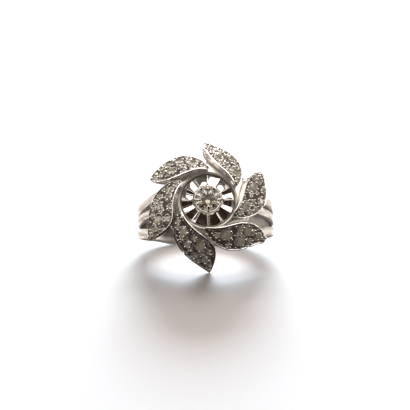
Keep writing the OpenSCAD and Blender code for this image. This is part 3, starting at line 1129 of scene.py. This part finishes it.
def claw_route(tip_r):
    """The middle line of a claw, smoothed, as rows of (distance, height, half thickness)."""
    crown_rise = math.tan(math.radians(CROWN_DEG))
    tip_z = GIRDLE_Z + (SEAT_R - tip_r) * crown_rise + CLAW_REST
    bend_r = (tip_r + CLAW_FOOT[-1][0]) / 2
    bend_z = GIRDLE_Z + (SEAT_R - bend_r) * crown_rise + CLAW_REST + CLAW_ARCH
    route = np.array(CLAW_FOOT + ((bend_r, bend_z, CLAW_TIP_T), (tip_r, tip_z, CLAW_BALL_T)))
    last = len(route) - 1
    fine = []
    for i in range(last):
        rows = [route[min(max(i + k, 0), last)] for k in (-1, 0, 1, 2)]
        fine += [smooth_run(*rows, t) for t in np.linspace(0, 1, CLAW_SMOOTH, endpoint=False)]
    return np.array(fine + [route[-1]])


def claw_wire(turn, twist, tip_r):
    """A round wire up the plate and the collet and over the stone to its tip, with round ends."""
    route = claw_route(tip_r)
    last = len(route) - 1
    heading = unit(np.gradient(route[:, :2], axis=0))
    stations = [(-math.sin(a), math.cos(a), 0) for a in reversed(CLAW_END_TURNS)]
    stations += [(0, 1, k) for k in range(len(route))]
    stations += [(math.sin(a), math.cos(a), last) for a in CLAW_END_TURNS]
    points = []
    for shift, size, k in stations:
        r, z, thick = route[k]
        out, rise = heading[k]
        for a in np.linspace(0, 2 * math.pi, CLAW_AROUND, endpoint=False):
            lift = thick * size * math.cos(a)
            points.append((
                r + out * shift * thick - rise * lift,
                thick * size * math.sin(a),
                z + rise * shift * thick + out * lift,
            ))
    for k, way in ((0, -1), (last, 1)):
        r, z, thick = route[k]
        out, rise = heading[k]
        points.append((r + way * out * thick, 0, z + way * rise * thick))
    x, y, z = np.array(points).T
    turns = turn + twist * np.clip((CLAW_TWIST_FROM_R - x) / (CLAW_TWIST_FROM_R - tip_r), 0, 1)
    turned = np.stack([x * np.cos(turns) - y * np.sin(turns), x * np.sin(turns) + y * np.cos(turns), z], 1)
    return turned, skin(len(stations), CLAW_AROUND) + end_fans(len(stations), CLAW_AROUND)


claw_finish = metal_finish(
    "claw_polish", WHITE_GOLD, OLD_POLISH_TARNISH, gloss_loss=0.08, hairlines=0.8, relief=0.25, shade_and_grime=0.03
)
points, faces = joined(claw_wire(math.radians(at), math.radians(twist), tip_r) for at, twist, tip_r in CLAWS)
worked_piece("claws", points, faces, claw_finish, "centre_setting")

# The centre stone: one round brilliant, a little warm in colour and faintly clouded.
# It rests on the collet, and the four claws are bent over it.

STONE_R = 1.775
TABLE = 0.56
GIRDLE = 0.02
GIRDLE_FACET_DEG = 360 / 32
GIRDLE_FACET_R = math.cos(math.radians(GIRDLE_FACET_DEG))
STAR_FACET_DEG = 360 / 16
STAR_FACET_R = TABLE * math.cos(math.radians(STAR_FACET_DEG))
CENTRE_STONE_TINT = (0.62, 0.55, 0.43, 1)

# Main, star and girdle facets of the crown, then main and girdle facets of the pavilion.
BRILLIANT = [
    (8, 0, CROWN_DEG, 1, GIRDLE),
    (8, STAR_FACET_DEG, 22, STAR_FACET_R, None),
    (16, GIRDLE_FACET_DEG, 40.5, GIRDLE_FACET_R, GIRDLE),
    (8, 0, -PAVILION_DEG, 1, -GIRDLE),
    (16, GIRDLE_FACET_DEG, -42.2, GIRDLE_FACET_R, -GIRDLE),
]

centre_stone_finish = stone_finish(
    "centre_stone_glass", CENTRE_STONE_TINT, roughness=0.0, clearness=1, ior=2.417
)
points, faces = cut_stone(64, GIRDLE, TABLE, BRILLIANT)
worked_piece(
    "centre_stone_cut",
    points * STONE_R + [0, 0, GIRDLE_Z],
    faces,
    centre_stone_finish,
    "centre_stone",
    faceted=True,
)

# The sheet that the ring lies on: plain white paper, a little uneven in tone.
# It doesn't show in the metal, which mirrors the room alone.

FLOOR_HALF = 4.0
PAPER_TONE = (0.93, 0.93, 0.935, 1)
PAPER_LIGHT_TONE = (0.96, 0.96, 0.96, 1)

floor_mesh = bpy.data.meshes.new("floor")
floor_corners = [(x * FLOOR_HALF, y * FLOOR_HALF, 0) for x, y in ((-1, -1), (1, -1), (1, 1), (-1, 1))]
floor_mesh.from_pydata(floor_corners, [], [(0, 1, 2, 3)])
floor = bpy.data.objects.new("floor", floor_mesh)
bpy.context.scene.collection.objects.link(floor)
paper = bpy.data.materials.new("white_paper")
paper.use_nodes = True
paper_link = paper.node_tree.links.new
paper_shader = paper.node_tree.nodes["Principled BSDF"]
paper_shader.inputs["Roughness"].default_value = 0.9
paper_shader.inputs["Specular IOR Level"].default_value = 0.1
paper_place = add_node(paper.node_tree, "TexCoord")
paper_fibre = add_node(paper.node_tree, "TexNoise", {"Scale": 60, "Detail": 3})
paper_tone = add_node(paper.node_tree, "Mix", {"A": PAPER_TONE, "B": PAPER_LIGHT_TONE}, data_type="RGBA")
paper_link(paper_place.outputs["Object"], paper_fibre.inputs["Vector"])
paper_link(paper_fibre.outputs["Fac"], paper_tone.inputs["Factor"])
paper_link(paper_tone.outputs["Result"], paper_shader.inputs["Base Color"])
floor_mesh.materials.append(paper)
floor.visible_glossy = False

# The windows: soft daylight that comes low from behind, so that the shadow falls towards the viewer.
# A wide warm one, higher up, softens it.

# Each window: how far it stands to the right of straight behind, how high it is and how wide, in degrees,
# its power and its colour.
WINDOWS = (
    ("cool_window", 3, 15, 19, 6.6, (0.8, 0.9, 1.0)),
    ("warm_window", 6, 37, 34, 1.55, (1.0, 0.91, 0.85)),
)

for window, side, height, wide, power, colour in WINDOWS:
    light = bpy.data.lights.new(window, "SUN")
    light.energy = power
    light.angle = math.radians(wide)
    light.color = colour
    stand = bpy.data.objects.new(window, light)
    side = math.radians(side)
    height = math.radians(height)
    level = math.cos(height)
    toward = Vector((math.sin(side) * level, math.cos(side) * level, math.sin(height)))
    stand.rotation_euler = toward.to_track_quat("Z", "Y").to_euler()
    bpy.context.scene.collection.objects.link(stand)

# The room, which the metal mirrors: uneven bright walls behind and beside the ring, small lamps among them
# and a pale ceiling. The side of the viewer is dark and warm.

# Each tone of the room: how much light falls there, and its colour.
ROOM_TONES = (
    (0.0, (0.025, 0.014, 0.01, 1)),
    (0.12, (0.1, 0.072, 0.058, 1)),
    (0.3, (0.34, 0.295, 0.265, 1)),
    (0.6, (1.1, 1.05, 1.0, 1)),
    (1.0, (3.0, 2.9, 2.8, 1)),
)
# Matt things take the even light of the whole room instead of its patches.
ROOM_FILL = (0.215, 0.18, 0.16, 1)

room = bpy.data.worlds.new("room")
bpy.context.scene.world = room
room.use_nodes = True
sky = room.node_tree
sky_link = sky.links.new
sky_place = add_node(sky, "TexCoord")
sky_axes = add_node(sky, "SeparateXYZ")
sky_link(sky_place.outputs["Generated"], sky_axes.inputs["Vector"])
behind = sky_axes.outputs["Y"]
up = sky_axes.outputs["Z"]


def eased(value, low, high, at_low, at_high):
    """A smooth step of a value of the room between two places."""
    node = add_node(
        sky,
        "MapRange",
        {"From Min": low, "From Max": high, "To Min": at_low, "To Max": at_high},
        interpolation_type="SMOOTHSTEP",
    )
    sky_link(value, node.inputs["Value"])
    return node.outputs["Result"]


def together(kind, first, *others):
    """Adds or multiplies values of the room, or takes the highest of them."""
    for other in others:
        node = add_node(sky, "Math", operation=kind)
        sky_link(first, node.inputs[0])
        sky_link(other, node.inputs[1])
        first = node.outputs[0]
    return first


def leaning(value, share, added):
    """A direction of the room: a share of one value, added to another."""
    node = add_node(sky, "Math", {1: share}, operation="MULTIPLY_ADD")
    sky_link(value, node.inputs[0])
    sky_link(added, node.inputs[2])
    return node.outputs[0]


def patches(scale, detail):
    """Soft random patches all round the room."""
    node = add_node(sky, "TexNoise", {"Scale": scale, "Detail": detail})
    sky_link(sky_place.outputs["Generated"], node.inputs["Vector"])
    return node.outputs["Fac"]


either_side = add_node(sky, "Math", operation="ABSOLUTE")
sky_link(sky_axes.outputs["X"], either_side.inputs[0])
beside = either_side.outputs[0]
above_floor = leaning(behind, 0.5, up)

# Walls: dark low down and at the viewer's side, dimmer high up, with things standing before them.
walls = together(
    "MULTIPLY",
    eased(above_floor, -0.4, 0.0, 0.04, 1),
    eased(up, 0.25, 0.55, 0.9, 0.5),
    eased(leaning(beside, 0.35, behind), -0.55, 0.05, 0.06, 1),
    eased(patches(2.6, 2), 0.4, 0.6, 0.12, 0.64),
)
# Lamps: the highest patches only, none low down or straight at the viewer's side.
lamps = together(
    "MULTIPLY",
    eased(patches(8, 0), 0.62, 0.68, 0, 1),
    eased(above_floor, -0.4, -0.1, 0, 1),
    eased(behind, -0.88, -0.66, 0, 1),
)
# Ceiling: pale overhead, arched down to the sides, and not behind the ring.
ceiling = together(
    "MULTIPLY",
    eased(leaning(beside, 0.3, up), 0.62, 0.85, 0, 0.85),
    eased(behind, 0.0, 0.35, 1, 0),
)
room_tone = add_node(sky, "ValToRGB")
sky_link(together("MAXIMUM", together("ADD", walls, lamps), ceiling), room_tone.inputs["Fac"])
ramp = room_tone.color_ramp
while len(ramp.elements) < len(ROOM_TONES):
    ramp.elements.new(0.5)
for stop, (at, tone) in zip(ramp.elements, ROOM_TONES):
    stop.position = at
    stop.color = tone
room_ray = add_node(sky, "LightPath")
room_light = add_node(sky, "Mix", {"B": ROOM_FILL}, data_type="RGBA")
sky_link(room_ray.outputs["Is Diffuse Ray"], room_light.inputs["Factor"])
sky_link(room_tone.outputs["Color"], room_light.inputs["A"])
sky_link(room_light.outputs["Result"], sky.nodes["Background"].inputs["Color"])

# The camera: nearly on the axis of the head, as in the photo, and far enough away for the curve of the wires
# to match. Its lean, turn and roll are degrees, and it looks at a spot a little below the ring's middle.

CAMERA_FAR = 230.0
CAMERA_FOCUS_PX = 1546
IMAGE_PX = 410
SENSOR_MM = 36
NEAR_CLIP = 0.01
VIEW_LEAN = 13.0
VIEW_TURN = -1.5
VIEW_ROLL = 1.3
AIM_RIGHT_PX = 0.8
AIM_DOWN_PX = 17.0

lean, turn, roll = (math.radians(v) for v in (VIEW_LEAN, VIEW_TURN, VIEW_ROLL))
away = np.array([math.sin(turn) * math.cos(lean), -math.sin(lean), math.cos(turn) * math.cos(lean)])
level = unit(np.cross([0, 1, 0], away))
upright = np.cross(away, level)
level, upright = (
    math.cos(roll) * level - math.sin(roll) * upright,
    math.sin(roll) * level + math.cos(roll) * upright,
)
aim = unit(-away + upright * AIM_DOWN_PX / CAMERA_FOCUS_PX - level * AIM_RIGHT_PX / CAMERA_FOCUS_PX)
right = unit(np.cross(aim, upright))
above = np.cross(right, aim)
camera_data = bpy.data.cameras.new("camera")
camera_data.sensor_width = SENSOR_MM
camera_data.lens = CAMERA_FOCUS_PX / IMAGE_PX * SENSOR_MM
camera_data.clip_start = NEAR_CLIP
camera = bpy.data.objects.new("camera", camera_data)
bpy.context.scene.collection.objects.link(camera)
pose = Matrix((LAID_TURN @ np.stack([right, above, -aim], 1)).tolist()).to_4x4()
pose.translation = Vector(laid(away * CAMERA_FAR)[0])
camera.matrix_world = pose
bpy.context.scene.camera = camera
bpy.context.scene.view_settings.view_transform = "Standard"
